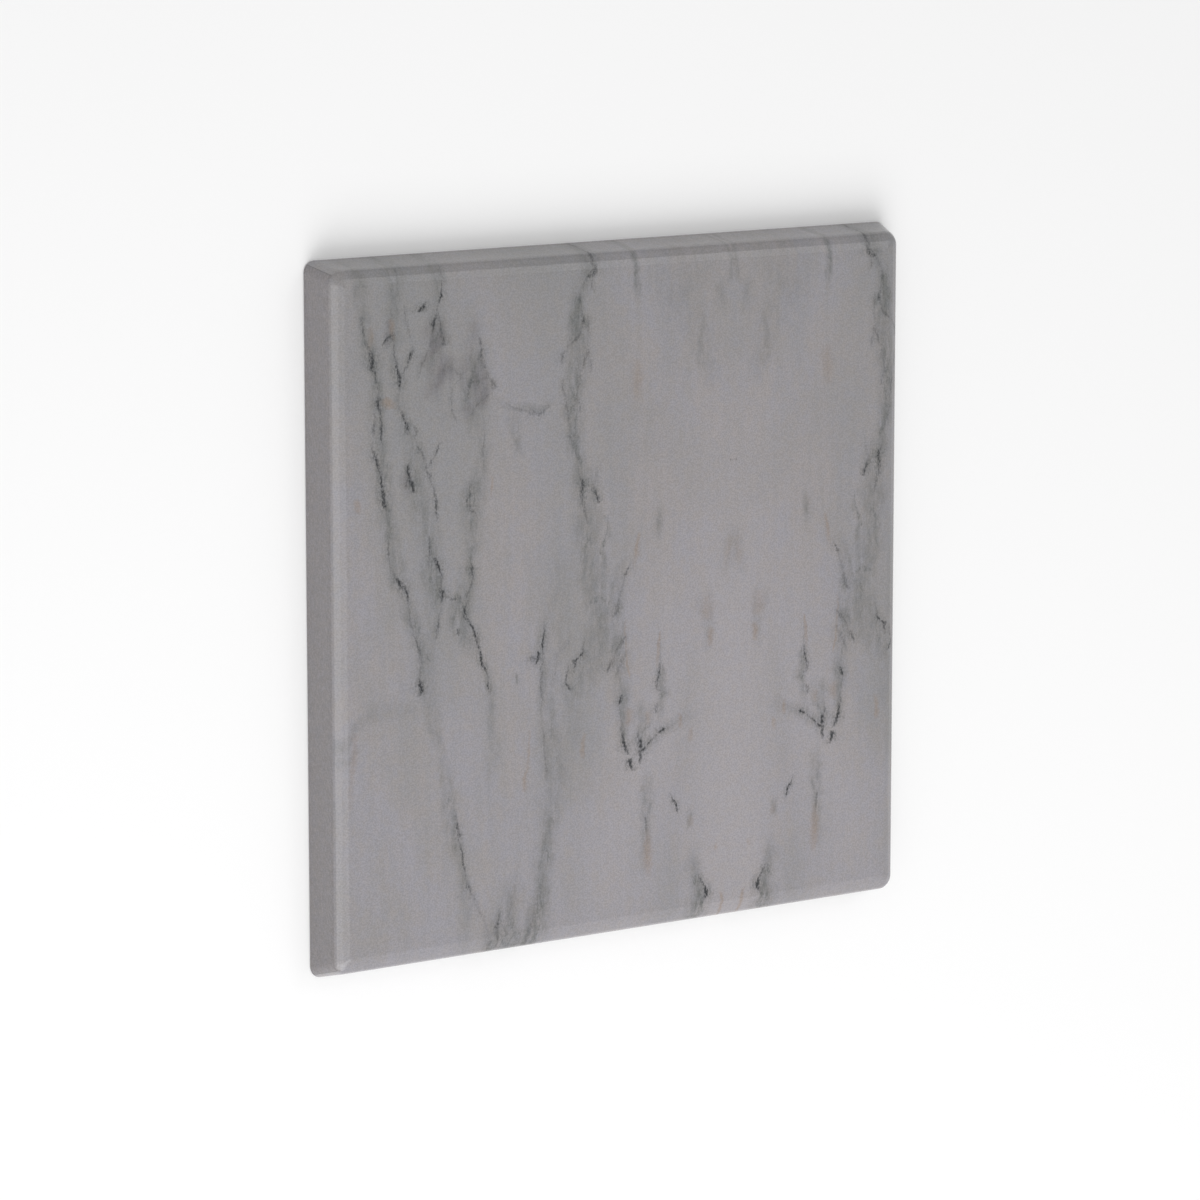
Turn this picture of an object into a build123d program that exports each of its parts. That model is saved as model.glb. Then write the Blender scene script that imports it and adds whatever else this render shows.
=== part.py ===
"""A square polished stone slab for leatherwork: one block of stone, lying on its back.

Frame, in millimetres: the back face rests on z = 0 and the polished working face looks up, along +Z.
The origin is under the middle of the slab, and its four sides face -X, +X, -Y and +Y.

The slab is one piece, with nothing on it or in it. From its widest outline the sides lean in as they
rise, then a steeper bevel and a shallower one carry the edge over to the flat working face.
"""
from build123d import *
import os

side_length = 305.0
thickness = 16.5

# The edge profile: how far each break in the edge stands in from the widest outline, and its height.
back_arris = 0.4
side_top_inset = 3.3
side_top_height = 13.6
bevel_break_inset = 6.9
bevel_break_height = 15.5
face_inset = 9.9

# The corners, seen from above: the radius grows a little up the side, and the bevels run it out.
base_corner_radius = 5.0
side_top_corner_radius = 6.2
face_corner_radius = 0.8

# The breaks are rounded over by the polishing pads.
side_top_rounding = 3.2
bevel_break_rounding = 2.0
face_rounding = 2.0

bevel_break_corner_radius = side_top_corner_radius - (bevel_break_inset - side_top_inset)

# Height, inset and corner radius of each outline, from the back face up to the working face.
outlines = [
    (0.0, back_arris, base_corner_radius - back_arris),
    (back_arris, 0.0, base_corner_radius),
    (side_top_height, side_top_inset, side_top_corner_radius),
    (bevel_break_height, bevel_break_inset, bevel_break_corner_radius),
    (thickness, face_inset, face_corner_radius),
]

# Height of each break that is rounded over, and the radius it gets.
roundings = [
    (side_top_height, side_top_rounding),
    (bevel_break_height, bevel_break_rounding),
    (thickness, face_rounding),
]

with BuildPart() as stone_slab:
    for lower_outline, upper_outline in zip(outlines, outlines[1:]):
        for height, inset, corner_radius in (lower_outline, upper_outline):
            width = side_length - 2 * inset
            with BuildSketch(Plane.XY.offset(height)):
                RectangleRounded(width, width, corner_radius)
        loft(ruled=True)

    for height, radius in roundings:
        break_edges = stone_slab.edges().filter_by_position(Axis.Z, height, height)
        fillet(break_edges, radius)

stone_slab.part.label = "stone_slab"
os.makedirs("parts", exist_ok=True)
export_step(stone_slab.part, "parts/stone_slab.step")
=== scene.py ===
import math

import bpy
from mathutils import Matrix, Vector


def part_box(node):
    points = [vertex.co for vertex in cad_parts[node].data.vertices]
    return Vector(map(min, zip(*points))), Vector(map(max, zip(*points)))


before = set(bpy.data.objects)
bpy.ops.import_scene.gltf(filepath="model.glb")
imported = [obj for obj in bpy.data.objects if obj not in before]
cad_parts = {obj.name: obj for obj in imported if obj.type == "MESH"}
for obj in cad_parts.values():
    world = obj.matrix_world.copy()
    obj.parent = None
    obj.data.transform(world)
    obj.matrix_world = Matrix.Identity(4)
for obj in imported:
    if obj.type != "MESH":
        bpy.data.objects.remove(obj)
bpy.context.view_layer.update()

slab_low, slab_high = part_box("stone_slab")
side = slab_high.x - slab_low.x
thickness = slab_high.z - slab_low.z


# ---------------------------------------------------------------- camera, floor and light

# The camera looks at the working face from its lower left, with the slab's +Y upright in the picture.
CAMERA_YAW = math.radians(35.03)
CAMERA_PITCH = math.radians(9.43)
CAMERA_DISTANCE = 7.51 * side
CAMERA_LENS_MM = 157.8
# How far right of and above the picture's middle the slab's origin sits.
ORIGIN_RIGHT = 0.0067 * side
ORIGIN_UP = 0.0147 * side

# The floor is a plain square, just under the slab.
FLOOR_REACH = 6
FLOOR_GAP = 0.0002
FLOOR_GREY = (0.92, 0.92, 0.92, 1)
WORLD_GREY = (0.59, 0.59, 0.59, 1)


def make_camera():
    to_camera = Vector((
        -math.sin(CAMERA_YAW) * math.cos(CAMERA_PITCH),
        math.sin(CAMERA_PITCH),
        math.cos(CAMERA_YAW) * math.cos(CAMERA_PITCH),
    ))
    right = Vector((0, 1, 0)).cross(to_camera).normalized()
    up = to_camera.cross(right)
    place = to_camera * CAMERA_DISTANCE
    aim = -right * ORIGIN_RIGHT - up * ORIGIN_UP
    back = (place - aim).normalized()
    across = up.cross(back).normalized()
    turn = Matrix((across, back.cross(across), back)).transposed()
    data = bpy.data.cameras.new("camera")
    data.lens = CAMERA_LENS_MM
    data.sensor_width = 36
    data.clip_start = 0.1
    data.clip_end = 50
    camera = bpy.data.objects.new("camera", data)
    camera.matrix_world = Matrix.Translation(place) @ turn.to_4x4()
    bpy.context.scene.collection.objects.link(camera)
    bpy.context.scene.camera = camera


def make_floor():
    reach = FLOOR_REACH
    corners = [(-reach, -reach, 0), (reach, -reach, 0), (reach, reach, 0), (-reach, reach, 0)]
    mesh = bpy.data.meshes.new("floor")
    mesh.from_pydata(corners, [], [(0, 1, 2, 3)])
    floor = bpy.data.objects.new("floor", mesh)
    floor.location.z = slab_low.z - FLOOR_GAP
    bpy.context.scene.collection.objects.link(floor)
    paint = bpy.data.materials.new("floor_paint")
    paint.use_nodes = True
    shader = paint.node_tree.nodes["Principled BSDF"]
    shader.inputs["Base Color"].default_value = FLOOR_GREY
    shader.inputs["Roughness"].default_value = 0.9
    shader.inputs["Specular IOR Level"].default_value = 0.1
    mesh.materials.append(paint)


def make_softbox(name, direction, distance, width, radiance):
    """A square lamp that looks at the origin, equally bright at any width."""
    data = bpy.data.lights.new(name, "AREA")
    data.size = width
    data.energy = radiance * math.pi * width * width
    lamp = bpy.data.objects.new(name, data)
    lamp.location = Vector(direction).normalized() * distance
    lamp.rotation_euler = Vector(direction).to_track_quat("Z", "Y").to_euler()
    bpy.context.scene.collection.objects.link(lamp)


def make_light():
    make_softbox("key", (-0.15, -0.72, 0.68), 2.6, 2.0, 3.2)
    make_softbox("left_edge", (-0.37, -0.14, 0.92), 2.4, 1.1, 1.7)
    make_softbox("top_edge", (0.566, 0.40, 0.72), 2.4, 0.7, 1.5)
    world = bpy.data.worlds.new("studio")
    world.use_nodes = True
    world.node_tree.nodes["Background"].inputs["Color"].default_value = WORLD_GREY
    bpy.context.scene.world = world
    bpy.context.scene.view_settings.view_transform = "Standard"


# ---------------------------------------------------------------- node helpers


class Graph:
    """Adds shader nodes one call at a time and wires sockets or numbers into them."""

    def __init__(self, material):
        material.use_nodes = True
        self.tree = material.node_tree
        self.shader = self.tree.nodes["Principled BSDF"]

    def feed(self, socket, value):
        if isinstance(value, bpy.types.NodeSocket):
            self.tree.links.new(value, socket)
        elif isinstance(value, tuple) and len(value) == 3 and socket.type == "RGBA":
            socket.default_value = (*value, 1)
        else:
            socket.default_value = value

    def math(self, operation, *values, clamp=False):
        node = self.tree.nodes.new("ShaderNodeMath")
        node.operation = operation
        node.use_clamp = clamp
        for socket, value in zip(node.inputs, values):
            self.feed(socket, value)
        return node.outputs[0]

    def remap(self, value, low, high, to_low=0.0, to_high=1.0, smooth=True, clamp=True):
        node = self.tree.nodes.new("ShaderNodeMapRange")
        node.interpolation_type = "SMOOTHSTEP" if smooth else "LINEAR"
        # A smooth step stays in its range by itself.
        node.clamp = clamp and not smooth
        self.feed(node.inputs["Value"], value)
        self.feed(node.inputs["From Min"], low)
        self.feed(node.inputs["From Max"], high)
        self.feed(node.inputs["To Min"], to_low)
        self.feed(node.inputs["To Max"], to_high)
        return node.outputs["Result"]

    def combine(self, x, y, z):
        node = self.tree.nodes.new("ShaderNodeCombineXYZ")
        for socket, value in zip(node.inputs, (x, y, z)):
            self.feed(socket, value)
        return node.outputs[0]

    def stretch(self, vector, scale):
        node = self.tree.nodes.new("ShaderNodeVectorMath")
        node.operation = "MULTIPLY"
        self.feed(node.inputs[0], vector)
        node.inputs[1].default_value = scale
        return node.outputs[0]

    def noise(self, vector, scale, detail=2.0, rough=0.5, colour=False):
        node = self.tree.nodes.new("ShaderNodeTexNoise")
        self.feed(node.inputs["Vector"], vector)
        node.inputs["Scale"].default_value = scale
        node.inputs["Detail"].default_value = detail
        node.inputs["Roughness"].default_value = rough
        return node.outputs["Color" if colour else "Fac"]

    def blend(self, amount, first, second, mode="MIX"):
        node = self.tree.nodes.new("ShaderNodeMix")
        node.data_type = "RGBA"
        node.blend_type = mode
        # The colours are this node's inputs 6 and 7 and its output 2.
        self.feed(node.inputs[0], amount)
        self.feed(node.inputs[6], first)
        self.feed(node.inputs[7], second)
        return node.outputs[2]

    def curves(self, position, channels):
        """Three smooth curves through knots, read at one position from 0 to 1."""
        join = self.tree.nodes.new("ShaderNodeCombineColor")
        for socket in join.inputs:
            self.feed(socket, position)
        node = self.tree.nodes.new("ShaderNodeRGBCurve")
        node.mapping.extend = "HORIZONTAL"
        for curve, knots in zip(node.mapping.curves, channels):
            curve.points[0].location = knots[0]
            curve.points[1].location = knots[-1]
            for knot in knots[1:-1]:
                curve.points.new(*knot)
        node.mapping.update()
        self.tree.links.new(join.outputs[0], node.inputs["Color"])
        split = self.tree.nodes.new("ShaderNodeSeparateColor")
        self.tree.links.new(node.outputs["Color"], split.inputs[0])
        return split.outputs


# ---------------------------------------------------------------- the stone's figure

# The figure is drawn on a square that lies over the flat face: 0 to 1 across from the left, and
# 0 to 1 up from the bottom. The slab is cut so that the right part mirrors the middle.
FIGURE_SIZE = 0.94 * side
FIGURE_LEFT = -0.468 * side
FIGURE_BOTTOM = -0.4715 * side
MIRROR_LINE = 0.6975
# A faint pale line, up the lower part of the face.
SEAM_LINE = 0.7290

# How far below the face the bevels end and the sides begin.
BEVEL_DEPTH = 0.176 * thickness

# Colours of the stone, with no light on it, save the painted light and shade of the sides.
WARM_GREY = (0.294, 0.276, 0.281)
COOL_GREY = (0.287, 0.277, 0.298)
CLOUDED_GREY = (0.257, 0.249, 0.253)
DULL_GREY = (0.224, 0.224, 0.227)
GLOW_GREY = (0.337, 0.318, 0.333)
HAZE_GREEN = (0.134, 0.138, 0.134)
CLOUD_PURPLE = (0.150, 0.140, 0.150)
WISP_GREEN = (0.105, 0.112, 0.108)
RUST_BROWN = (0.245, 0.176, 0.122)
HALO_GREY = (0.095, 0.100, 0.098)
INK_BLACK = (0.020, 0.022, 0.025)
SEAM_PALE = (0.34, 0.32, 0.33)
# Painted shade: the plain, finely streaked left and right sides, in a darker grey than the face.
SHADED_SIDE_DARK = (0.212, 0.201, 0.207)
SHADED_SIDE_PALE = (0.256, 0.242, 0.249)
# Painted light: a pale grey that lifts the sides below the bevel.
PAINTED_LIGHT_PALE = (0.62, 0.60, 0.60)
CREASE_DARK = (0.10, 0.10, 0.10)
# What the mottle multiplies the colour by.
MOTTLE_WARM = (1.0, 0.985, 0.965)
MOTTLE_COOL = (0.985, 0.988, 1.0)

# Each vein is a list of (height, across, darkness, width) from its top end to its bottom end,
# with widths in thousandths of the figure. A vein that stops on the face has no darkness at its
# ends, because an end's values carry on past it.
INK_VEINS = {
    "left_top": [
        (.955, .029, 0, 2.3), (.94, .030, .55, 3.4), (.922, .034, .35, 3.4),
        (.905, .041, .55, 4.6), (.893, .045, 1, 8), (.878, .047, 1, 6.9), (.862, .051, .6, 3.4),
        (.842, .056, .4, 3.4), (.824, .056, .95, 6.9), (.805, .060, .5, 3.4),
        (.785, .060, .8, 4.6), (.768, .061, .4, 3.4), (.75, .061, 0, 2.3)],
    "left_main": [
        (.835, .050, 0, 2.3), (.815, .050, .3, 3.4), (.788, .048, .5, 4.6), (.768, .045, .2, 3.4),
        (.752, .048, .8, 4.6), (.738, .054, .8, 5.8), (.72, .058, .75, 4.6), (.70, .0615, 1, 5.8),
        (.683, .064, 1, 5.8), (.66, .070, .2, 4), (.635, .072, .1, 3.4), (.605, .072, .5, 4.6),
        (.59, .073, .3, 4.6), (.567, .083, .5, 5.8), (.56, .090, 1, 8), (.54, .1025, .8, 4.6),
        (.515, .1075, .35, 3.4), (.483, .113, .35, 3.4), (.463, .123, .6, 3.4),
        (.44, .126, .3, 3.4), (.415, .126, .4, 3.4), (.402, .1265, 1, 6.9), (.385, .1265, 0, 3.4)],
    "arch": [
        (.93, .083, 0, 3.4), (.925, .081, .5, 5.8), (.91, .0825, .4, 3.4), (.893, .085, .5, 3.4),
        (.877, .088, .7, 4.6), (.862, .0915, 1, 6.9), (.848, .0925, .85, 5.8),
        (.835, .091, .2, 3.4), (.822, .091, .25, 3.4), (.812, .095, .4, 3.4),
        (.79, .1045, .95, 4.6), (.775, .107, 0, 3.4)],
    "second": [
        (.79, .119, 0, 3.4), (.782, .1205, .5, 3.4), (.765, .1215, .25, 3.4),
        (.749, .1295, .6, 4.6), (.735, .1365, .35, 4.6), (.715, .1425, .5, 4.6),
        (.695, .150, .4, 3.4), (.672, .155, .7, 3.4), (.64, .157, .25, 2.3), (.61, .158, .1, 2.3),
        (.592, .153, .3, 4.6), (.578, .158, 1, 6.9), (.562, .164, .7, 3.4), (.548, .163, .4, 3.4),
        (.535, .1645, 1, 8), (.518, .163, .4, 3.4), (.50, .1595, .4, 3.4), (.49, .1575, .6, 3.4),
        (.465, .153, .2, 2.3), (.445, .142, 0, 2.3)],
    "inner_stub": [
        (.625, .140, 0, 3), (.612, .144, .5, 4), (.595, .143, .6, 4), (.572, .142, 0, 3)],
    "upper_fork": [
        (.97, .102, 0, 2), (.95, .103, .35, 3), (.93, .108, .3, 3), (.905, .115, .2, 3),
        (.891, .113, .9, 5), (.876, .105, .45, 4), (.86, .096, .5, 3), (.85, .093, 0, 3)],
    "top_fleck": [(.974, .139, 0, 3), (.967, .1365, .7, 5), (.96, .1325, 1, 8), (.953, .126, 0, 4)],
    "top_vein": [
        (1.0, .170, .3, 3), (.985, .166, .5, 3), (.974, .1655, .9, 5), (.962, .159, .35, 3),
        (.945, .1565, .7, 4), (.935, .153, 1, 5), (.92, .150, .3, 4), (.90, .145, .35, 5),
        (.885, .137, .35, 4), (.866, .128, .25, 3), (.85, .122, 0, 3)],
    "top_branch": [
        (.955, .160, 0, 3), (.94, .163, .5, 3), (.925, .166, .4, 4), (.91, .169, .6, 6),
        (.90, .170, 0, 4)],
    "shoulder": [
        (.935, .232, 0, 3), (.912, .233, .25, 3), (.887, .2365, .65, 4), (.868, .240, .4, 4),
        (.852, .249, .35, 5), (.836, .258, .5, 7), (.828, .257, .2, 5), (.822, .245, .35, 6),
        (.81, .228, .3, 4), (.798, .220, .25, 4), (.785, .217, 0, 4)],
    "shoulder_left": [
        (.865, .199, 0, 3), (.852, .198, .35, 3), (.84, .186, .25, 3), (.815, .183, .3, 3),
        (.795, .188, .3, 3), (.785, .193, 0, 3)],
    "shoulder_knot": [
        (.855, .222, 0, 4), (.843, .216, .35, 6), (.828, .211, .3, 6), (.805, .207, 0, 4)],
    "crossing": [
        (.76, .161, 0, 3), (.75, .159, .75, 3), (.74, .152, .4, 3), (.734, .147, .6, 4),
        (.725, .146, 0, 3)],
    "wedge": [
        (.735, .107, 0, 3.4), (.725, .1075, .95, 4.6), (.712, .109, .8, 5.8), (.704, .112, 1, 8),
        (.697, .1145, 1, 5.8), (.688, .117, 0, 4.6)],
    "wedge_left": [(.715, .107, 0, 3), (.705, .104, .6, 5), (.695, .102, 0, 4)],
    "third_thread": [(.79, .243, 0, 2), (.76, .240, .3, 3), (.72, .239, .2, 3), (.66, .24, 0, 2)],
    "third_main": [
        (.70, .214, 0, 4), (.68, .2145, .5, 5), (.666, .210, .55, 6), (.655, .218, .5, 5),
        (.647, .226, .4, 4), (.62, .225, .1, 3), (.58, .2175, .2, 3), (.563, .218, .8, 5),
        (.548, .219, .5, 4), (.533, .210, .4, 4), (.515, .208, .5, 5), (.50, .2045, .85, 4),
        (.488, .211, .75, 4), (.476, .2205, .75, 5), (.463, .225, 1, 6), (.45, .2285, .65, 4),
        (.44, .2315, .9, 4), (.423, .236, 1, 4), (.41, .242, .5, 3), (.402, .247, .3, 3),
        (.39, .247, .85, 3), (.375, .249, .3, 4), (.36, .25, 0, 4)],
    "third_dot": [(.482, .192, 0, 3), (.475, .1925, .8, 4), (.468, .193, 0, 3)],
    "fourth": [
        (.485, .349, 0, 3), (.465, .3475, .35, 4), (.443, .3445, .95, 4), (.425, .345, .4, 3),
        (.405, .342, .5, 4), (.36, .342, .35, 4), (.32, .343, .15, 3), (.30, .347, .4, 4),
        (.285, .346, .3, 3), (.25, .350, .3, 4), (.225, .352, 0, 4)],
    "fourth_dot": [(.432, .336, 0, 3), (.422, .336, 1, 5), (.413, .332, 0, 4)],
    "long_v": [
        (.205, .187, 0, 2), (.19, .1895, .4, 3), (.171, .1915, .8, 5), (.155, .195, .45, 3),
        (.135, .199, .8, 3), (.115, .2025, .6, 3), (.10, .2055, .3, 3), (.088, .208, .7, 5.5),
        (.077, .214, .4, 5), (.06, .223, .3, 5), (.046, .23, .3, 5), (.028, .239, .2, 5),
        (.012, .2435, .2, 5), (0, .248, .4, 6)],
    "foot_knot": [
        (.055, .263, 0, 3), (.04, .264, .3, 3), (.022, .26, .7, 6), (.012, .260, .35, 4),
        (0, .2635, .4, 5)],
    "foot_arm": [
        (.11, .297, 0, 3), (.08, .293, .18, 6), (.045, .284, .2, 7), (.025, .274, .2, 6),
        (.012, .266, 0, 3)],
    "foot_right": [
        (.095, .347, 0, 5), (.078, .343, .15, 6), (.05, .333, .2, 7), (.025, .325, .25, 7),
        (0, .318, .35, 7)],
    "crown": [
        (1.0, .440, .6, 6), (.991, .434, .75, 9), (.983, .424, .3, 6), (.97, .416, .25, 4),
        (.96, .4135, .4, 4), (.945, .413, .3, 5), (.927, .419, .6, 5), (.91, .413, .35, 6),
        (.896, .405, .55, 7), (.887, .392, .25, 5), (.875, .382, .5, 6), (.86, .379, 0, 4)],
    "crown_spur": [(.995, .434, 0, 3), (.975, .4355, .4, 3), (.962, .438, 0, 3)],
    "crown_right": [
        (.93, .428, 0, 3), (.915, .4285, .35, 5), (.895, .428, .2, 4), (.88, .427, .3, 5),
        (.867, .4235, .5, 6), (.85, .415, .3, 6), (.83, .411, .25, 5), (.812, .408, .3, 4),
        (.795, .4125, .4, 3), (.785, .414, 0, 3)],
    "crown_hook": [(.87, .4295, 0, 3), (.855, .4315, .35, 4), (.842, .432, 0, 3)],
    "weaver": [
        (.84, .381, 0, 3), (.826, .3825, .35, 4), (.80, .387, .35, 5), (.785, .390, .4, 6),
        (.765, .393, .25, 6), (.745, .396, .25, 8), (.72, .4075, .2, 6), (.695, .411, .2, 4),
        (.675, .4175, .9, 7), (.664, .415, .6, 7), (.648, .4175, .45, 6), (.632, .4225, .4, 4),
        (.615, .425, 0, 3)],
    "weaver_hand": [
        (.71, .444, 0, 3), (.69, .4435, .25, 4), (.67, .437, .35, 6), (.656, .4445, .8, 5),
        (.645, .447, 0, 4)],
    "middle_hook": [
        (.56, .508, 0, 2), (.545, .5045, .2, 3), (.537, .4985, .75, 5), (.525, .4925, .3, 4),
        (.505, .488, .25, 6), (.49, .4835, .35, 7), (.478, .478, .65, 6), (.47, .473, 0, 5)],
    "claw_upper": [
        (.44, .496, 0, 4), (.43, .489, .5, 6), (.42, .480, .45, 6), (.412, .4745, .2, 5),
        (.398, .4685, .6, 8), (.388, .463, .35, 7), (.38, .46, 0, 5)],
    "claw_lower": [
        (.42, .4975, 0, 4), (.41, .4955, .25, 7), (.40, .490, .3, 8), (.388, .483, .3, 8),
        (.375, .477, 0, 5)],
    "left_claw": [
        (.455, .396, 0, 3), (.436, .3875, .25, 5), (.425, .3735, .2, 5), (.405, .369, .2, 5),
        (.39, .3655, .3, 6), (.375, .362, 0, 4)],
    "hook": [
        (.45, .421, 0, 2), (.43, .418, .35, 3), (.415, .4125, .9, 5), (.411, .405, 1, 6),
        (.40, .403, .6, 4), (.392, .4025, 0, 3)],
    "hook_tail": [
        (.41, .390, 0, 3), (.395, .390, .5, 4), (.38, .3865, .6, 4), (.372, .390, .75, 5),
        (.366, .396, 0, 4)],
    "dart": [
        (.44, .5615, 0, 2), (.41, .560, .25, 2), (.39, .560, .4, 3), (.377, .5595, .8, 5),
        (.36, .5545, .5, 6), (.351, .556, .5, 6), (.345, .562, .2, 5), (.335, .566, 0, 5)],
    "dart_dot": [(.33, .555, 0, 4), (.321, .553, .6, 4), (.312, .551, 0, 4)],
    "v_left": [
        (.35, .489, 0, 4), (.34, .487, .9, 5), (.328, .484, .15, 4), (.305, .488, .3, 4),
        (.283, .4915, .8, 4), (.268, .495, 1, 7), (.26, .498, .9, 5), (.254, .499, 0, 4)],
    "v_tip": [(.25, .5045, 0, 4), (.241, .504, 1, 7), (.233, .5065, .9, 6), (.228, .507, 0, 4)],
    "v_right": [
        (.295, .5205, 0, 3), (.28, .5195, .6, 4), (.268, .5235, .9, 8), (.26, .523, .8, 7),
        (.248, .524, .7, 5), (.238, .522, 0, 4)],
    "rust_stalk": [(.16, .533, 0, 2), (.148, .534, .5, 3), (.13, .5355, .2, 3), (.115, .536, 0, 3)],
    "stroke": [
        (.192, .578, 0, 2), (.180, .5835, .6, 2.5), (.168, .589, .9, 3.5), (.158, .594, .6, 3),
        (.152, .596, 0, 2)],
    "heel": [
        (.055, .632, 0, 4), (.046, .636, .6, 5), (.040, .640, .6, 5), (.030, .6475, .85, 6),
        (.02, .648, 1, 8), (.013, .646, .6, 5), (.003, .643, 0, 5)],
    "pin_dot": [(.6945, .6905, 0, 1.4), (.692, .692, .7, 1.5), (.6895, .693, 0, 1.4)],
}

# The same, for veins that run across the face: (across, height, darkness, width), left to right.
CROSS_VEINS = {
    "eyebrow": [
        (.155, .855, 0, 5), (.17, .866, .2, 7), (.185, .867, .2, 7), (.197, .858, .3, 5),
        (.21, .850, .15, 4), (.225, .846, .2, 5), (.25, .850, .25, 5), (.262, .843, 0, 4)],
    "swag": [
        (.26, .818, 0, 4), (.285, .807, .2, 4), (.305, .797, .32, 5), (.33, .791, .42, 6),
        (.345, .790, .5, 5), (.352, .797, .4, 4), (.362, .801, 0, 3)],
    "arch_left": [(.062, .908, 0, 4), (.069, .916, .7, 6), (.082, .925, .6, 5), (.088, .925, 0, 4)],
    "bridge": [
        (.162, .531, 0, 3), (.175, .528, .3, 4), (.189, .525, .5, 4), (.20, .526, .25, 4),
        (.212, .52, 0, 4)],
    "v_arm": [
        (.518, .263, 0, 5), (.532, .260, .85, 6), (.542, .271, .7, 5), (.552, .280, .45, 4),
        (.5605, .285, .9, 5), (.575, .288, .2, 5), (.60, .297, 0, 4)],
    "ledge": [(.308, .420, 0, 5), (.32, .421, .35, 7), (.334, .420, .6, 5), (.340, .419, 0, 4)],
}

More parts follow.
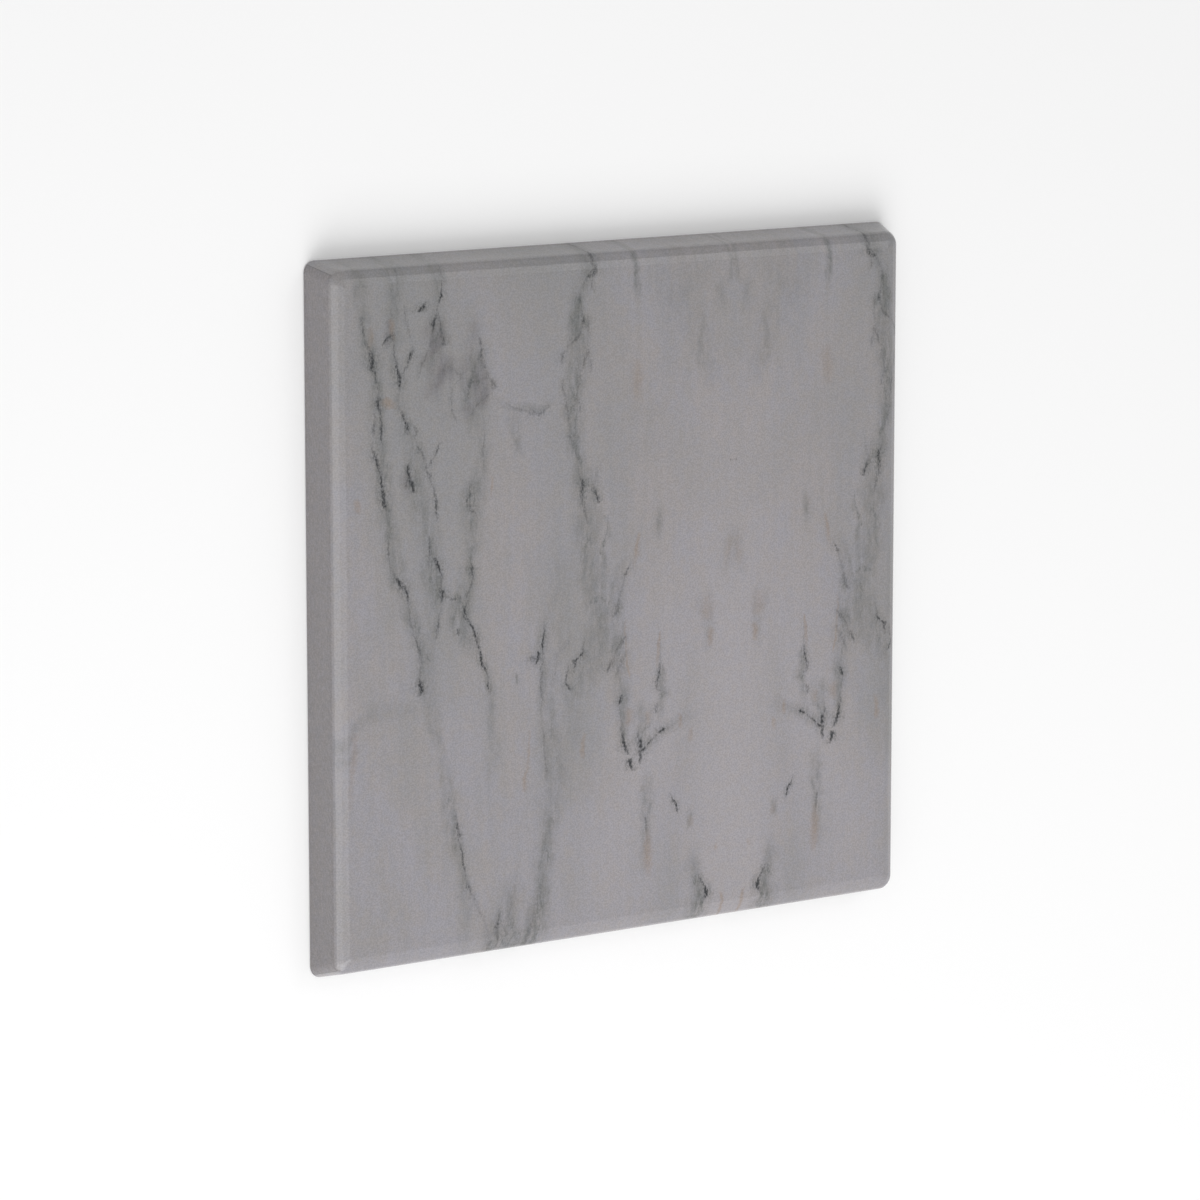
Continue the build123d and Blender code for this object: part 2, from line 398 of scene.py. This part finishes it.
# Soft grey-green drifts that the dark veins lie in, listed in the same way.
HAZE = {
    "left_edge": [
        (1.0, .028, .45, 20), (.95, .032, .5, 18), (.88, .050, .6, 22), (.80, .056, .5, 20),
        (.70, .064, .6, 22), (.60, .080, .55, 26), (.53, .100, .45, 24), (.45, .132, .55, 28),
        (.40, .138, .45, 28), (.33, .152, .35, 24), (.26, .172, .4, 22), (.18, .182, .55, 22),
        (.12, .194, .4, 18), (.05, .205, .3, 20), (0, .20, .1, 20)],
    "left_inner": [
        (1.0, .085, .55, 30), (.95, .085, .4, 26), (.88, .086, .35, 20), (.80, .10, .3, 22),
        (.75, .118, .45, 26), (.70, .120, .5, 34), (.62, .142, .4, 30), (.56, .148, .6, 30),
        (.50, .150, .35, 26), (.45, .140, .3, 20), (.41, .140, 0, 20)],
    "top_cluster": [
        (1.0, .160, .4, 22), (.95, .158, .4, 24), (.915, .162, .85, 26), (.89, .155, .6, 28),
        (.86, .150, .25, 30), (.80, .180, .15, 30), (.77, .18, 0, 20)],
    "arch_patch": [
        (.95, .076, 0, 13), (.925, .077, .65, 14), (.905, .080, .3, 12), (.89, .084, 0, 10)],
    "shoulder": [
        (.98, .222, 0, 26), (.90, .222, .35, 34), (.84, .226, .65, 42), (.79, .222, .4, 34),
        (.74, .236, .3, 22), (.68, .222, .6, 32), (.62, .216, .5, 26), (.55, .212, .6, 26),
        (.51, .195, .65, 34), (.45, .214, .45, 24), (.40, .243, .35, 16), (.33, .255, .4, 16),
        (.28, .257, .2, 16), (.24, .25, .15, 12), (.16, .25, 0, 12)],
    "swag_drop": [(.80, .285, 0, 20), (.76, .297, .45, 18), (.72, .30, 0, 20)],
    "crown": [
        (1.0, .43, .5, 26), (.96, .412, .7, 26), (.91, .410, .9, 30), (.86, .406, .5, 32),
        (.80, .400, .6, 30), (.74, .402, .65, 26), (.67, .424, .7, 34), (.60, .426, .6, 36),
        (.55, .430, .6, 42), (.50, .448, .6, 40), (.45, .445, .45, 44), (.40, .430, .5, 60),
        (.36, .40, .35, 50), (.28, .385, .2, 40), (.2, .375, 0, 40)],
    "claws": [
        (.56, .495, 0, 16), (.50, .476, .45, 26), (.45, .482, .5, 24), (.40, .482, .7, 26),
        (.36, .490, .5, 26), (.32, .490, .55, 22), (.28, .498, .35, 22), (.24, .51, 0, 20)],
    "v_web": [(.34, .53, 0, 20), (.31, .53, .45, 34), (.28, .535, .55, 34), (.25, .525, 0, 20)],
    "dart": [
        (.39, .557, 0, 8), (.36, .564, .55, 18), (.345, .566, .65, 22), (.33, .562, .3, 18),
        (.30, .556, .2, 20), (.27, .556, 0, 20)],
    "fourth": [
        (.52, .352, 0, 20), (.42, .345, .4, 20), (.35, .352, .45, 24), (.30, .360, .45, 32),
        (.24, .370, .4, 40), (.20, .362, .45, 36), (.13, .350, .6, 28), (.06, .340, .6, 28),
        (0, .325, .8, 40)],
    "foot": [(.10, .285, 0, 24), (.06, .285, .4, 40), (.03, .278, .5, 50), (0, .278, .65, 70)],
    "axis_moss": [
        (.59, .695, 0, 14), (.565, .691, .28, 20), (.54, .684, .28, 20), (.51, .68, 0, 14)],
    "axis_dusk": [
        (.51, .645, 0, 16), (.47, .647, .28, 22), (.43, .652, .28, 18), (.395, .65, 0, 14)],
    "web": [
        (.535, .185, 0, 18), (.51, .188, .38, 24), (.48, .20, .42, 24), (.45, .215, .38, 18),
        (.42, .23, 0, 10)],
    "stalk": [(.23, .538, 0, 14), (.17, .537, .5, 16), (.12, .530, .35, 14), (.06, .53, 0, 14)],
    "heel": [(.10, .62, 0, 18), (.06, .628, .45, 24), (.02, .634, .75, 30), (0, .632, .6, 32)],
    "top_strand": [
        (1.0, .515, .6, 12), (.97, .515, .6, 11), (.95, .517, .25, 10), (.91, .518, 0, 10)],
    "upper_wisp": [
        (.95, .640, 0, 26), (.90, .640, .28, 26), (.868, .637, .45, 28), (.845, .645, .3, 30),
        (.80, .66, 0, 28)],
    "axis_wisp": [(1.0, .693, .35, 12), (.975, .688, .35, 14), (.94, .68, 0, 14)],
    "axis_smoke": [(.98, .655, 0, 30), (.95, .672, .27, 28), (.91, .67, 0, 26)],
    "faint_stroke": [(.645, .562, 0, 8), (.605, .558, .4, 11), (.58, .557, 0, 9)],
    "middle_wisp": [(.53, .473, 0, 10), (.51, .469, .75, 9), (.485, .463, 0, 10)],
    "streak_a": [(.62, .412, 0, 10), (.585, .416, .6, 10), (.555, .419, .7, 10), (.52, .42, 0, 10)],
    "streak_b": [(.63, .455, 0, 8), (.61, .46, .7, 9), (.56, .456, .6, 9), (.53, .458, 0, 9)],
    "top_corner": [(1.0, .61, .22, 90), (.95, .60, .25, 90), (.90, .62, .2, 60), (.86, .65, 0, 60)],
    "cloud": [(.885, .178, 0, 18), (.868, .176, .45, 20), (.85, .163, .35, 20), (.835, .16, 0, 18)],
    "knee": [(.86, .225, 0, 30), (.845, .228, .35, 34), (.82, .215, .35, 28), (.80, .21, 0, 22)],
    "grey_patch": [
        (.58, .375, 0, 30), (.54, .378, .25, 32), (.49, .372, .2, 28), (.44, .376, .3, 28),
        (.40, .38, 0, 30)],
    "speck": [(.41, .296, 0, 6), (.395, .297, .6, 7), (.38, .297, 0, 6)],
    "green_dot": [(.158, .612, 0, 10), (.14, .616, .4, 13), (.123, .618, 0, 10)],
    "green_streak": [(.345, .527, 0, 14), (.315, .525, .5, 16), (.29, .52, 0, 14)],
}

# Drifts that run across the face, as (across, height, darkness, width), left to right.
CROSS_HAZE = {
    "left_bank": [
        (0, .325, .5, 22), (.012, .345, .45, 24), (.03, .362, .35, 26), (.06, .370, .3, 24),
        (.10, .366, .2, 22), (.13, .355, 0, 20)],
    "left_bank_foot": [(0, .30, .35, 16), (.012, .31, .3, 14), (.025, .32, 0, 12)],
    "v_shelf": [(.55, .285, 0, 20), (.575, .292, .4, 20), (.60, .296, .3, 18), (.63, .30, 0, 18)],
    "swag": [
        (.25, .822, 0, 9), (.28, .808, .3, 10), (.305, .799, .4, 10), (.33, .793, .45, 10),
        (.348, .792, .4, 9), (.357, .799, .25, 8), (.367, .804, 0, 7)],
}

# Paler drifts of the ground.
GLOW = {
    "axis": [
        (.85, .66, 0, 150), (.70, .68, .30, 160), (.58, .69, .45, 150), (.45, .69, .65, 150),
        (.30, .69, .75, 150), (.15, .69, .8, 130), (0, .69, .7, 120)],
    "lower_middle": [
        (.62, .58, 0, 90), (.48, .58, .40, 100), (.38, .58, .5, 110), (.22, .53, .5, 130),
        (.10, .48, .40, 140), (0, .47, .3, 140)],
}

# Duller, greener drifts of the ground.
DULL = {
    "upper_left": [
        (1.0, .10, .80, 240), (.90, .11, .80, 240), (.80, .12, .70, 220), (.65, .13, .6, 160),
        (.50, .15, .5, 130), (.40, .16, .3, 110), (.33, .16, 0, 100)],
    "top_middle": [
        (1.0, .35, .8, 250), (.92, .37, .5, 250), (.80, .38, .35, 200), (.65, .39, .3, 120),
        (.50, .41, .4, 95), (.40, .41, .35, 100), (.30, .40, .3, 100), (.2, .36, .1, 90),
        (.1, .34, 0, 80)],
    "top_right": [(1.0, .60, .18, 200), (.92, .62, .20, 180), (.82, .63, 0, 150)],
}

# Purplish clouds among the veins at the upper left.
CLOUDS = {
    "fan": [
        (.90, .158, 0, 22), (.872, .170, .75, 34), (.852, .162, .75, 34), (.836, .150, .4, 24),
        (.82, .146, 0, 12)],
    "shoulder": [
        (.89, .225, 0, 18), (.865, .232, .45, 26), (.842, .234, .85, 36), (.825, .240, .7, 28),
        (.80, .214, .4, 20), (.785, .209, 0, 12)],
    "mist": [
        (.95, .228, 0, 14), (.92, .224, .35, 16), (.89, .214, .4, 16), (.86, .202, .4, 14),
        (.84, .20, 0, 12)],
    "top": [
        (.95, .150, 0, 16), (.925, .158, .7, 30), (.907, .158, .85, 30), (.89, .142, .5, 18),
        (.87, .130, 0, 10)],
    "knot": [(.95, .076, 0, 8), (.928, .073, .85, 13), (.912, .070, .5, 10), (.90, .070, 0, 8)],
    "wedge": [(.735, .105, 0, 12), (.715, .104, .6, 16), (.695, .104, .6, 16), (.68, .11, 0, 12)],
}

# Ochre and rust stains, listed in the same way.
RUST = {
    "left_spot": [(.69, .018, 0, 8), (.677, .019, .7, 10), (.665, .020, 0, 8)],
    "arch_bloom": [(.95, .080, 0, 6), (.932, .081, .7, 7), (.915, .084, 0, 6)],
    "left_bloom": [(.94, .043, 0, 6), (.922, .044, .5, 9), (.90, .040, 0, 6)],
    "thread": [(.705, .253, 0, 3), (.69, .254, .6, 4), (.67, .253, 0, 3)],
    "thread_low": [
        (.315, .32, 0, 4), (.285, .319, .6, 4), (.262, .317, .4, 4), (.235, .311, .8, 6),
        (.22, .311, 0, 5)],
    "stalk": [
        (.145, .537, 0, 5), (.125, .537, .55, 11), (.10, .537, .85, 14), (.08, .538, .7, 13),
        (.06, .54, 0, 8)],
    "brow": [(.595, .520, 0, 5), (.575, .5175, .8, 7), (.55, .513, .3, 7), (.535, .51, 0, 6)],
    "claw_edge": [
        (.47, .496, 0, 3), (.44, .496, .5, 3), (.405, .498, .5, 3), (.385, .502, .8, 3),
        (.373, .504, 0, 3)],
    "dart_top": [(.44, .5605, 0, 3), (.425, .5585, .8, 4), (.40, .556, .5, 5), (.38, .555, 0, 4)],
    "axis_spot": [
        (.438, .655, 0, 6), (.428, .655, .7, 10), (.417, .655, .8, 10), (.406, .654, 0, 6)],
    "axis_bloom": [
        (.49, .648, 0, 14), (.475, .647, .38, 20), (.458, .649, .45, 20), (.444, .651, 0, 12)],
    "band": [
        (.834, .068, 0, 14), (.828, .071, .85, 17), (.821, .075, .85, 17), (.815, .079, 0, 13)],
    "olive_a": [(.30, .420, 0, 6), (.285, .418, .7, 6), (.27, .417, .8, 7), (.258, .418, 0, 6)],
    "olive_b": [(.31, .597, 0, 5), (.297, .598, .8, 6), (.285, .60, 0, 5)],
    "olive_c": [(.285, .619, 0, 6), (.277, .6175, .6, 7), (.262, .617, 0, 6)],
    "olive_d": [(.15, .615, 0, 7), (.137, .619, .4, 9), (.127, .620, 0, 7)],
    "axis_olive": [
        (.58, .693, 0, 10), (.56, .690, .3, 12), (.545, .686, .25, 12), (.52, .682, 0, 10)],
    "axis_fleck": [(.29, .701, 0, 5), (.278, .7015, .8, 5), (.268, .702, 0, 4)],
    "low_fleck": [(.10, .667, 0, 5), (.093, .666, .6, 6), (.085, .665, 0, 5)],
    "toe": [(.02, .676, 0, 5), (.008, .678, .9, 6), (0, .679, .8, 6)],
    "left_bank_edge": [(.345, .012, 0, 8), (.31, .010, .5, 9), (.27, .005, .3, 8), (.2, .0, 0, 8)],
    "middle_bloom": [
        (.86, .518, 0, 14), (.84, .519, .45, 16), (.81, .517, .4, 16), (.79, .517, 0, 14)],
    "web_olive": [(.33, .50, 0, 10), (.312, .503, .6, 13), (.295, .50, 0, 10)],
    "web_olive_right": [(.32, .537, 0, 10), (.308, .538, .5, 9), (.295, .537, 0, 8)],
}


def lay_veins(graph, veins, along, across, widest, core=0.0, halo=0.0):
    """The strongest of a set of veins, as a dark core and a weaker halo three times as wide.

    Each vein's route, darkness and width are read at the place along it, and the route is compared
    with the place across it.
    """
    for knots in veins.values():
        knots = sorted(knots)
        start, end = knots[0][0], knots[-1][0]
        reading = graph.math("DIVIDE", graph.math("SUBTRACT", along, start), end - start)
        places = [(knot[0] - start) / (end - start) for knot in knots]
        channels = (
            [(place, knot[1]) for place, knot in zip(places, knots)],
            [(place, knot[2]) for place, knot in zip(places, knots)],
            [(place, knot[3] / widest) for place, knot in zip(places, knots)],
        )
        route, darkness, width = graph.curves(reading, channels)[:3]
        distance = graph.math("ABSOLUTE", graph.math("SUBTRACT", across, route))
        reach = graph.math("MULTIPLY", width, widest / 1000)
        core = graph.math("MAXIMUM", core, graph.remap(distance, 0.0, reach, darkness, 0.0))
        nearness = graph.math("SUBTRACT", 3.0, graph.math("DIVIDE", distance, reach))
        halo = graph.math("MAXIMUM", halo, graph.math("MULTIPLY", nearness, darkness))
    return core, halo


def warp(graph, across, up, seed_place, scale, rough, reach):
    """Moves a place on the figure a little, by noise."""
    push = graph.tree.nodes.new("ShaderNodeSeparateColor")
    graph.feed(push.inputs[0], graph.noise(seed_place, scale, 5.0, rough, colour=True))
    least_across = graph.math("SUBTRACT", across, reach / 2)
    moved_across = graph.math("MULTIPLY_ADD", push.outputs[0], reach, least_across)
    least_up = graph.math("SUBTRACT", up, reach / 2)
    moved_up = graph.math("MULTIPLY_ADD", push.outputs[1], reach, least_up)
    return moved_across, moved_up


class Spot:
    """A point of the slab, and where it lies on the figure."""

    def __init__(self, graph):
        self.place = graph.tree.nodes.new("ShaderNodeTexCoord").outputs["Object"]
        split = graph.tree.nodes.new("ShaderNodeSeparateXYZ")
        graph.feed(split.inputs[0], self.place)
        self.x, self.y, self.z = split.outputs
        # Below the face the figure leans a little, so veins cross the sides at a slant.
        self.depth = graph.math("SUBTRACT", slab_high.z, self.z)
        leaning_x = graph.math("MULTIPLY_ADD", self.depth, 0.2, self.x)
        right = FIGURE_LEFT + FIGURE_SIZE
        across = graph.remap(leaning_x, FIGURE_LEFT, right, smooth=False, clamp=False)
        top = FIGURE_BOTTOM + FIGURE_SIZE
        self.up = graph.remap(self.y, FIGURE_BOTTOM, top, smooth=False, clamp=False)
        self.from_seam = graph.math("ABSOLUTE", graph.math("SUBTRACT", across, SEAM_LINE))
        from_mirror = graph.math("ABSOLUTE", graph.math("SUBTRACT", across, MIRROR_LINE))
        self.across = graph.math("SUBTRACT", MIRROR_LINE, from_mirror)
        self.figure = graph.combine(self.across, self.up, graph.math("MULTIPLY", self.depth, 3.0))


def lay_figure(graph, spot):
    """How strongly each kind of mark shows at a spot.

    The nodes are made in the order that they are read. Cycles keeps few values at a time, and the
    slab turns black where it runs out of room.
    """
    fine = graph.stretch(spot.figure, (1.6, 1.0, 1.0))
    ink_across, ink_up = warp(graph, spot.across, spot.up, fine, 60.0, 0.70, 0.014)
    soft_across, soft_up = warp(graph, spot.across, spot.up, spot.figure, 22.0, 0.68, 0.040)
    core, halo = lay_veins(graph, INK_VEINS, ink_up, ink_across, 10)
    core, halo = lay_veins(graph, CROSS_VEINS, ink_across, ink_up, 10, core, halo)
    haze = lay_veins(graph, HAZE, soft_up, soft_across, 100)[0]
    cross_haze = lay_veins(graph, CROSS_HAZE, soft_across, soft_up, 100)[0]
    clouds = lay_veins(graph, CLOUDS, soft_up, soft_across, 100)[0]
    rust = lay_veins(graph, RUST, ink_up, ink_across, 30)[0]
    marks = {}
    marks["glow"] = lay_veins(graph, GLOW, soft_up, soft_across, 250)[0]
    marks["dull"] = lay_veins(graph, DULL, soft_up, soft_across, 250)[0]

    # Fibres that run up the face and fine crumbs break the ink and streak the haze.
    fibres = graph.noise(graph.stretch(spot.figure, (4.0, 1.0, 1.0)), 55.0, 3.0, 0.62)
    crumbs = graph.noise(graph.stretch(spot.figure, (1.5, 1.0, 1.0)), 235.0, 2.0, 0.65)
    fibrous = graph.remap(fibres, 0.32, 0.68, 0.0, 0.6)
    texture = graph.math("ADD", fibrous, graph.remap(crumbs, 0.36, 0.64, 0.0, 0.6))
    sharper = graph.math("POWER", core, 1.45)
    breaks = graph.math("MULTIPLY_ADD", texture, 1.35, 0.15)
    marks["ink"] = graph.math("MULTIPLY", sharper, breaks, clamp=True)
    thinned = graph.remap(texture, 0.3, 0.95, 0.01, 0.24)
    marks["halo"] = graph.math("MULTIPLY", halo, thinned, clamp=True)
    streaks = graph.noise(graph.stretch(spot.figure, (3.0, 0.8, 1.0)), 24.0, 5.0, 0.68)
    streaky = graph.remap(streaks, 0.36, 0.62, 0.15, 1.45, smooth=False)
    smoke = graph.math("MULTIPLY", haze, streaky, clamp=True)
    cross_smoke = graph.math("MULTIPLY", cross_haze, graph.remap(fibres, 0.3, 0.7, 0.6, 1.1))
    marks["smoke"] = graph.math("MAXIMUM", smoke, cross_smoke)
    patchy = graph.remap(streaks, 0.36, 0.62, 0.35, 1.25, smooth=False)
    marks["clouds"] = graph.math("MULTIPLY", clouds, patchy, clamp=True)
    grainy = graph.remap(crumbs, 0.3, 0.6, 0.5, 1.0)
    marks["rust"] = graph.math("MULTIPLY", rust, grainy, clamp=True)

    # Thin wisps wander through the haze, where a noise crosses its middle value.
    wander = graph.noise(graph.stretch(spot.figure, (2.2, 0.8, 1.0)), 15.0, 5.0, 0.58)
    off_middle = graph.math("ABSOLUTE", graph.math("SUBTRACT", wander, 0.5))
    on_line = graph.remap(off_middle, 0.0, 0.045, 1.0, 0.0)
    wisps = graph.math("MULTIPLY", on_line, graph.remap(haze, 0.15, 0.75))
    marks["wisps"] = graph.math("MULTIPLY", wisps, graph.remap(texture, 0.2, 1.0, 0.1, 0.75))
    return marks


def paint_face(graph, spot, marks, cloud):
    """The ground drifts between a warm and a cool grey, with the marks laid over it."""
    tint = graph.noise(graph.stretch(spot.figure, (1.4, 0.8, 1.0)), 7.0, 5.0, 0.68)
    tint = graph.math("SUBTRACT", tint, graph.math("MULTIPLY", spot.up, 0.10))
    ground = graph.blend(graph.remap(tint, 0.38, 0.52), WARM_GREY, COOL_GREY)
    ground = graph.blend(graph.remap(cloud, 0.36, 0.56, 0.50, 0.0), ground, CLOUDED_GREY)
    strands = graph.noise(graph.stretch(spot.figure, (9.0, 0.5, 1.0)), 10.0, 4.0, 0.6)
    ground = graph.blend(graph.remap(strands, 0.40, 0.65, 0.0, 0.16), ground, DULL_GREY)
    ground = graph.blend(marks["dull"], ground, DULL_GREY)
    ground = graph.blend(marks["glow"], ground, GLOW_GREY)
    ground = graph.blend(graph.math("MULTIPLY", marks["smoke"], 0.75), ground, HAZE_GREEN)
    ground = graph.blend(graph.math("MULTIPLY", marks["clouds"], 0.75), ground, CLOUD_PURPLE)
    ground = graph.blend(marks["wisps"], ground, WISP_GREEN)
    ground = graph.blend(graph.math("MULTIPLY", marks["rust"], 0.60), ground, RUST_BROWN)
    ground = graph.blend(marks["halo"], ground, HALO_GREY)
    ground = graph.blend(graph.math("MULTIPLY", marks["ink"], 0.92), ground, INK_BLACK)
    on_seam = graph.remap(spot.from_seam, 0.0, 0.002, 0.5, 0.0)
    seam = graph.math("MULTIPLY", on_seam, graph.remap(spot.up, 0.35, 0.7, 1.0, 0.0))
    return graph.blend(seam, ground, SEAM_PALE)


def paint_sides(graph, spot, ground):
    """The sides are painted a little paler than the face would be there, as painted light.

    The left and right ones are cut along the veins, so they are plain, with fine streaks, and
    painted darker than the face, as painted shade.
    """
    below_bevel = graph.remap(spot.depth, BEVEL_DEPTH - 0.0003, BEVEL_DEPTH + 0.0003)
    from_middle_x = graph.math("ABSOLUTE", spot.x)
    cornerward = graph.math("SUBTRACT", from_middle_x, graph.math("ABSOLUTE", spot.y))
    shaded_long_side = graph.math("MULTIPLY", below_bevel, graph.remap(cornerward, -0.0002, 0.0002))
    slanted = graph.math("MULTIPLY_ADD", spot.y, 0.25, spot.z)
    streak_place = graph.stretch(graph.combine(spot.y, slanted, spot.x), (330.0, 2000.0, 1.0))
    # Painted light: the sides below the bevel are lifted a little toward a pale grey; the left and
    # right ones are covered again below.
    ground = graph.blend(graph.math("MULTIPLY", below_bevel, 0.10), ground, PAINTED_LIGHT_PALE)
    streaks = graph.noise(streak_place, 1.0, 3.0, 0.6)
    # Painted shade: the left and right sides are plain streaked stone, painted a darker grey than the
    # face.
    plain = graph.blend(graph.remap(streaks, 0.3, 0.7), SHADED_SIDE_DARK, SHADED_SIDE_PALE)
    ground = graph.blend(shaded_long_side, ground, plain)
    on_corner = graph.remap(graph.math("ABSOLUTE", cornerward), 0.0, 0.0006, 0.5, 0.0)
    crease = graph.math("MULTIPLY", below_bevel, on_corner)
    return graph.blend(crease, ground, CREASE_DARK)


def add_grain(graph, spot, ground):
    """A soft mottle of warm and cool, and a fine grain of light and dark."""
    mottle = graph.noise(spot.place, 260.0, 3.0, 0.7)
    mottle = graph.blend(graph.remap(mottle, 0.38, 0.62), MOTTLE_WARM, MOTTLE_COOL)
    ground = graph.blend(1.0, ground, mottle, "MULTIPLY")
    grain = graph.noise(spot.place, 1500.0, 1.0, 0.5)
    light = graph.remap(grain, 0.2, 0.8, 0.893, 1.147)
    return graph.blend(1.0, ground, graph.combine(light, light, light), "MULTIPLY")


def make_marble():
    material = bpy.data.materials.new("polished_marble")
    graph = Graph(material)
    spot = Spot(graph)
    marks = lay_figure(graph, spot)
    cloud = graph.noise(graph.stretch(spot.figure, (1.6, 0.7, 1.0)), 7.0, 4.0, 0.55)
    ground = paint_face(graph, spot, marks, cloud)
    ground = paint_sides(graph, spot, ground)
    graph.feed(graph.shader.inputs["Base Color"], add_grain(graph, spot, ground))
    graph.feed(graph.shader.inputs["Roughness"], graph.remap(cloud, 0.3, 0.7, 0.20, 0.26))
    return material


make_camera()
make_floor()
make_light()
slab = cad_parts["stone_slab"]
slab.data.materials[0] = make_marble()
